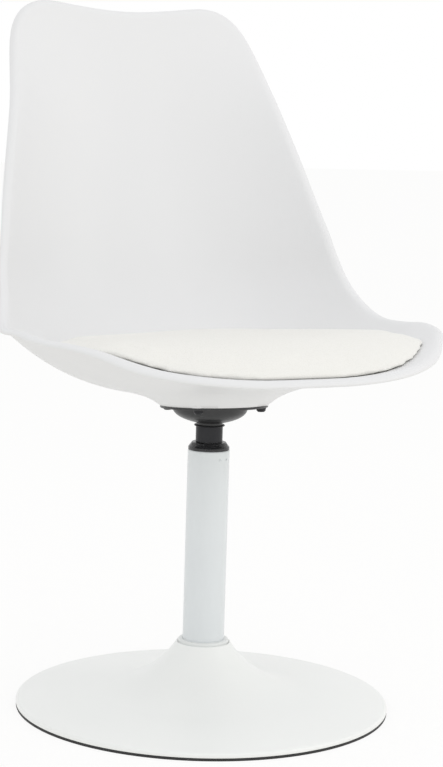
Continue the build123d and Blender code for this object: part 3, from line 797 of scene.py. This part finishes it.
def skin_normal(across, along, step=0.5 * mm):
    """Direction square to the skin, towards the sitter."""
    side = skin(across + step, along) - skin(across - step, along)
    ahead = skin(across, along + step) - skin(across, along - step)
    return side.cross(ahead).normalized()


print("front edge at", [round(v, 3) for v in seat_place @ skin(0, 0)])

# %% [markdown]
# ## Rim, laid flat and made smooth
#
# The rim's table has a point every few centimetres. A smooth line through them, closed into a
# loop, gives four times as many. Rounds of smoothing by turns inwards and outwards take out the
# small waves of the table and don't shrink the outline. Each point also gets a bearing around
# the foot, so that the mesh runs from the round foot out to the rim without crowding.

# %% Fine rim
rim_steps = 4
rim_rounds = 14
half = [Vector((x * shell_half_width, s * line_length)) for x, s in rim_shares]
coarse = half + [Vector((-p.x, p.y)) for p in reversed(half[1:-1])]
count = len(coarse)
runs = [0.0]
for k in range(count):
    runs.append(runs[-1] + sqrt((coarse[(k + 1) % count] - coarse[k]).length))

rim, bearings = [], []
for k in range(count):
    a, b, c, d = (coarse[(k + i) % count] for i in (-1, 0, 1, 2))
    gap_before, gap, gap_after = (sqrt((q - p).length) for p, q in ((a, b), (b, c), (c, d)))
    start_slope = ((b - a) / gap_before * gap + (c - b) / gap * gap_before) / (gap_before + gap)
    end_slope = ((c - b) / gap * gap_after + (d - c) / gap_after * gap) / (gap + gap_after)
    for i in range(rim_steps):
        t = i / rim_steps
        place = b * (1 - 3 * t**2 + 2 * t**3) + c * (3 * t**2 - 2 * t**3)
        place += start_slope * gap * (t**3 - 2 * t**2 + t) + end_slope * gap * (t**3 - t**2)
        rim.append(place)
        bearings.append(pi - 2 * pi * (runs[k] + gap * t) / runs[-1])
for strength in (0.5, -0.52) * rim_rounds:
    before = [p.copy() for p in rim]
    for k in range(len(rim)):
        middle = (before[k - 1] + before[(k + 1) % len(rim)]) / 2
        rim[k] = before[k].lerp(middle, strength)
outward = []
for k in range(len(rim)):
    run = rim[(k + 1) % len(rim)] - rim[k - 1]
    outward.append(Vector((run.y, -run.x)).normalized())
print("rim points", len(rim))

# %% [markdown]
# ## Rings of the shell
#
# The mesh is a sleeve of closed rings, like a sock: from the foot's pocket out along the
# underside, round the turned-over lip, and back along the sitter's side to the middle of the
# floor. The lip bends away from the sitter, which stiffens the edge and gives the bright band
# around the seat in the picture. The first half of the sock is the underside.

# %% Shell rings
lip_middle = lip_radius + shell_wall / 2
lip_reach = (lip_radius + shell_wall) * sin(lip_turn) + shell_wall / 2 * cos(lip_turn)
flare_radius = foot_radius + foot_flare
flare_fall = [(0, 1), (0.15, 0.66), (0.35, 0.36), (0.62, 0.12), (1, 0)]
flare_steps = 10
body_steps = 22
lip_steps = 5


def flat_ring(inset, share, circle, middle):
    """Flat places a share of the way from a circle to the rim, which is drawn in by an inset."""
    places = []
    for edge, out, bearing in zip(rim, outward, bearings):
        inner = Vector((circle * sin(bearing), middle + circle * cos(bearing)))
        places.append(inner.lerp(edge - out * inset, share))
    return places


def on_skin(places, height):
    """Points a height above the underside."""
    return [skin(x, s) + skin_normal(x, s) * height for x, s in places]


def level_ring(radius, height):
    """Round level ring about the foot's centre."""
    return [Vector((radius * sin(b), radius * cos(b), height)) for b in bearings]


inset = lip_reach + lip_run
body = [flat_ring(inset, k / body_steps, flare_radius, foot_at) for k in range(body_steps + 1)]
body += [flat_ring(lip_reach + lip_run * share, 1, flare_radius, foot_at) for share in (0.5, 0)]

rings = [level_ring(pocket_radius, foot_height), level_ring(pocket_radius, 0)]
rings.append(level_ring(foot_radius, 0))
for k in range(1, flare_steps):
    reach = k / flare_steps
    circle = flat_ring(0, 0, foot_radius + foot_flare * reach, foot_at)
    rings.append(on_skin(circle, -foot_height * eased(flare_fall, reach)))
rings += [on_skin(places, 0) for places in body]

print("rings of the underside", len(rings))

# %% [markdown]
# ## Lip and inner side
#
# At every rim point three things are kept: the point, the direction square to the skin, and
# the one that runs outwards. The lip is an arc in the plane of the last two, with a round tip.
# After the lip the rings go back over the sitter's side, one wall thickness higher.

# %% Lip rings
lip_frames = []
for (x, s), out in zip(body[-1], outward):
    square = skin_normal(x, s)
    run = skin(x + out.x * mm, s + out.y * mm) - skin(x - out.x * mm, s - out.y * mm)
    lip_frames.append((skin(x, s), square, (run - square * run.dot(square)).normalized()))


def lip_ring(radius, turn, tip=0.0, tip_turn=0.0):
    """Ring of the lip at a turn, with a round tip."""
    points = []
    for begin, square, out in lip_frames:
        arm = square * cos(turn) + out * sin(turn)
        tangent = out * cos(turn) - square * sin(turn)
        end = arm * (tip * sin(tip_turn)) + tangent * (tip * cos(tip_turn))
        points.append(begin - square * lip_radius + arm * radius + end)
    return points


lip_turns = [lip_turn * k / lip_steps for k in range(1, lip_steps + 1)]
tip_turns = [radians(b) for b in (-60, -30, 0, 30, 60)]
rings += [lip_ring(lip_radius, turn) for turn in lip_turns]
rings += [lip_ring(lip_middle, lip_turn, shell_wall / 2, turn) for turn in tip_turns]
rings += [lip_ring(lip_radius + shell_wall, turn) for turn in reversed(lip_turns)]
rings += [on_skin(places, shell_wall) for places in reversed(body)]
for share in (0.85, 0.7, 0.55, 0.4, 0.25, 0.12):
    circle = flat_ring(0, 0, flare_radius * share, foot_at - core_forward * (1 - share))
    rings.append(on_skin(circle, shell_wall))
print("rings", len(rings), "of", len(rim))

# %% [markdown]
# ## Shell mesh
#
# The rings are joined with quads and closed by a fan at each end. Under the foot, eight ribs,
# four screw bosses and a centre boss stand in the pocket as they do in the moulding.

# %% Shell
def sleeve(work, sections):
    """Loops of vertices along closed sections, with quads between neighbours."""
    loops = [[work.verts.new(seat_place @ p) for p in section] for section in sections]
    for lower, upper in zip(loops, loops[1:]):
        for k in range(len(lower)):
            j = (k + 1) % len(lower)
            work.faces.new((lower[k], lower[j], upper[j], upper[k]))
    return loops


work = bmesh.new()
loops = sleeve(work, rings)
for loop in (loops[0], loops[-1]):
    hub = work.verts.new(sum((v.co for v in loop), Vector()) / len(loop))
    for k in range(len(rim)):
        work.faces.new((loop[k], loop[(k + 1) % len(rim)], hub))

rib_count = 8
rib_width = 2.6 * mm
rib_overlap = 1 * mm
core_radius = 12 * mm
boss_radius = 8.5 * mm
boss_spread = 39.5 * mm
rib_run = pocket_radius - core_radius + rib_overlap
size = Matrix.Diagonal((rib_run, rib_width, foot_height, 1))
for k in range(rib_count):
    place = seat_place @ Matrix.Rotation(2 * pi * k / rib_count, 4, "Z")
    place = place @ Matrix.Translation(((pocket_radius + core_radius) / 2, 0, foot_height / 2))
    bmesh.ops.create_cube(work, size=1, matrix=place @ size)
bosses = [(x, y, boss_radius) for x in (-1, 1) for y in (-1, 1)] + [(0, 0, core_radius)]
for x, y, radius in bosses:
    place = seat_place @ Matrix.Translation((x * boss_spread, y * boss_spread, foot_height / 2))
    form = {"segments": 32, "radius1": radius, "radius2": radius, "depth": foot_height}
    bmesh.ops.create_cone(work, cap_ends=True, matrix=place, **form)
shell_mesh = finished(work, "bucket_shell")
smoothed(shell_mesh, 50)
piece("bucket_shell", shell_mesh, "moulded_white", "seat", "white_shell", "seat_shell")

# %% [markdown]
# ## Seat pad
#
# The pad is foam under stretched leatherette: one crowned cushion whose edge tucks down into the
# bucket all round. It starts as cross-sections that stand on the centre line, a little lower and
# narrower than the finished pad. A short cloth simulation with air pressure then swells it, which
# gives the taut, slightly uneven skin that a purely drawn shape lacks. The table says how far
# along the seat a section stands, and its half width and height as shares of the largest ones.

# %% Pad outline
pad_gap = 0.4 * mm
pad_height = 79 * mm
pad_edge_width = 14 * mm
pad_edge_rise = 7 * mm
swell_room = 1.8 * mm
pad_shares = [
    (0.0125, 0.16, 0.105), (0.0149, 0.268, 0.16), (0.0274, 0.429, 0.30), (0.0473, 0.575, 0.455),
    (0.0871, 0.735, 0.65), (0.1393, 0.835, 0.80), (0.199, 0.875, 0.90), (0.25, 0.84, 0.93),
    (0.30, 0.79, 0.92), (0.345, 0.69, 0.83), (0.385, 0.55, 0.65), (0.418, 0.38, 0.42),
    (0.436, 0.19, 0.18), (0.441, 0.12, 0.11),
]
outline = through([Vector(row) for row in pad_shares], 4)
print("pad stations", len(outline))

# %% [markdown]
# ## Sections of the pad
#
# A section follows the shell underneath at a hair's gap, flat in the middle and curled at the
# sides. Over it runs a low crown, and a short curve joins the two at the edge. Towards the thin
# ends of the pad the edge keeps some thickness, because a knife edge would fray in the remesh.

# %% Pad sections
flat_steps = 5
curl_steps = 12
crown_steps = 13
edge_steps = 7


def pad_section(along_share, width_share, height_share):
    """Closed section of the pad, over the crown and back along the underside."""
    back, up, heading = centre_line(along_share * line_length)
    half_width = width_share * shell_half_width - swell_room
    level = min(eased(flat_shares, along_share) * shell_half_width, 0.5 * half_width)
    radius = shell_half_width / eased(bend_shares, along_share)
    foot = shell_wall + pad_gap
    turn = asin((half_width - level) / radius)
    bend = radius - foot
    edge = Vector((level + bend * sin(turn), radius - bend * cos(turn)))
    tuck = min(pad_edge_width * max(height_share, 0.6), 0.5 * (edge.x - level))
    foot_turn = asin((edge.x - level - 0.2 * tuck) / bend)
    under = [Vector((level * k / flat_steps, foot)) for k in range(flat_steps)]
    for k in range(curl_steps + 1):
        turn = foot_turn * k / curl_steps
        under.append(Vector((level + bend * sin(turn), radius - bend * cos(turn))))
    rise = pad_edge_rise * max(height_share, 0.7)
    top = max(pad_height * height_share - swell_room, edge.y + rise + 0.5 * mm)
    over = []
    for k in range(crown_steps + 1):
        x = (edge.x - tuck) * k / crown_steps
        crown_share = 1 - (k / crown_steps) ** 2
        over.append(Vector((x, edge.y + rise + (top - edge.y - rise) * crown_share)))
    foot_end, shoulder = under[-1], over[-1]
    for k in range(1, edge_steps):
        t = k / edge_steps
        over.append(shoulder * (1 - t) ** 2 + edge * 2 * t * (1 - t) + foot_end * t**2)
    mirrored = [Vector((-p.x, p.y)) for p in over[1:]] + [Vector((-p.x, p.y)) for p in under[:0:-1]]
    loop = over[::-1] + mirrored + under
    return [Vector((p.x, back - p.y * sin(heading), up + p.y * cos(heading))) for p in loop]


work = bmesh.new()
loops = sleeve(work, [pad_section(*station) for station in outline])
for loop in (loops[0], loops[-1]):
    work.faces.new(loop)
pad_mesh = finished(work, "pad")
print("pad blank", len(pad_mesh.vertices), "vertices")

# %% [markdown]
# ## Swell the pad
#
# The blank is remeshed to even cells, becomes cloth with a little air pressure and no gravity,
# and runs for twenty frames. No point may move further than a cap. The move fades out towards
# the sides, and the underside, which rests on the shell, stays where it is. A light smoothing
# and one subdivision end the work.

# %% Pad
pad = piece("pad", pad_mesh, "ivory_leatherette", "seat", "ivory_leatherette", "pad_cushion")
voxel = 4 * mm
air_pressure = 4
swell_frames = 20
swell_cap = 2.2 * mm


remesh = pad.modifiers.new("cells", "REMESH")
remesh.mode = "VOXEL"
remesh.voxel_size = voxel
smooth = pad.modifiers.new("smooth", "SMOOTH")
smooth.factor = 0.5
smooth.iterations = 9
applied(pad)
print("pad cells", len(pad.data.vertices))

before = [v.co.copy() for v in pad.data.vertices]
cloth = pad.modifiers.new("stuffing", "CLOTH")
cloth.settings.use_pressure = True
cloth.settings.uniform_pressure_force = air_pressure
cloth.settings.effector_weights.gravity = 0
cloth.settings.tension_stiffness = 30
cloth.settings.quality = 5
for number in range(1, swell_frames + 1):
    bpy.context.scene.frame_set(number)
swollen = applied(pad)
bpy.context.scene.frame_set(1)
up_seat = (seat_place.to_3x3() @ Vector((0, 0, 1))).normalized()
lifts = [vertex.normal.dot(up_seat) for vertex in swollen.vertices]
for vertex, rest, lift in zip(swollen.vertices, before, lifts):
    move = vertex.co - rest
    share = min(max((lift - 0.15) / 0.6, 0.0), 1.0)
    run = move.normalized() * min(move.length, swell_cap)
    vertex.co = rest + run * share * share * (3 - 2 * share)
print("swollen")

even = pad.modifiers.new("even", "SMOOTH")
even.factor = 0.5
even.iterations = 3
soft = pad.modifiers.new("soft", "SUBSURF")
soft.levels = 1
soft.render_levels = 1
applied(pad)
smoothed(pad.data, 80)
print("pad vertices", len(pad.data.vertices))

# %% [markdown]
# ## Floor, backdrop and light
#
# The picture is a catalogue shot: pure white around a white chair, lit by big soft boxes. The
# white comes from the floor and the world as the camera sees them, not from more light on the
# chair, and the floor keeps the chair's shadow.

# %% Floor
floor_reach = 30.0
floor_white = 0.86
corners = [(x * floor_reach, y * floor_reach, 0) for x, y in ((-1, -1), (1, -1), (1, 1), (-1, 1))]
floor_mesh = bpy.data.meshes.new("floor")
floor_mesh.from_pydata(corners, [], [(0, 1, 2, 3)])
placed("floor", floor_mesh)


def open_view(rays):
    """One where the camera looks, straight or through a shine or a clear piece."""
    kinds = ("Camera", "Glossy", "Transmission")
    straight, shine, clear = (
        rays.make("ShaderNodeLightPath", {}, {}, "Is %s Ray" % kind) for kind in kinds
    )
    return (straight + shine + clear).clamped()


where = start("floor")
seen = open_view(where)
matte = where.make("ShaderNodeBsdfDiffuse", {}, {"Color": (0.97, 0.96, 0.93, 1)})
glow = where.make("ShaderNodeEmission", {}, {"Color": (1, 1, 1, 1), "Strength": 1.0})
both = where.make("ShaderNodeMixShader", {}, {0: seen * floor_white, 1: matte, 2: glow})
where.make("ShaderNodeOutputMaterial", {}, {"Surface": both})
floor_mesh.materials.append(finishes["floor"])
print("floor", 2 * floor_reach, "m wide")

# %% [markdown]
# ## Soft light
#
# A room of white paper lights the chair from all sides, a little dimmer than the camera sees
# it. One large soft box overhead and one on each side give the slow gradients on the bucket. The
# right one is the strongest and a little warm, and the left one is weak and cool.

# %% World and lamps
sky_light = 0.86
world = bpy.data.worlds.new("studio")
world.use_nodes = True
bpy.context.scene.world = world
tree = world.node_tree
tree.nodes.clear()
rays = Signal(tree, None)
strength = open_view(rays) * (1 - sky_light) + sky_light
light = rays.make("ShaderNodeBackground", {}, {"Color": (1, 1, 1, 1), "Strength": strength})
rays.make("ShaderNodeOutputWorld", {}, {"Surface": light})


def lamp(name, place, aim, size, power, tint=(1, 1, 1)):
    """Square soft box that looks at a point."""
    data = bpy.data.lights.new(name, "AREA")
    data.size = size
    data.energy = power
    data.color = tint
    made = placed(name, data)
    made.location = place
    made.rotation_euler = (Vector(aim) - Vector(place)).to_track_quat("-Z", "Y").to_euler()
    print("lamp", name, power, "W")


lamp("overhead", (0.4, -0.9, 5.0), (0, 0, 0.4), 2.6, 14)
lamp("right", (2.3, -2.2, 1.5), (0, 0, 0.45), 1.8, 15, (1.0, 0.99, 0.97))
lamp("left", (-3.0, -1.4, 2.2), (0, 0, 0.45), 1.8, 7, (0.88, 0.93, 1.0))

bpy.context.scene.view_settings.view_transform = "Standard"
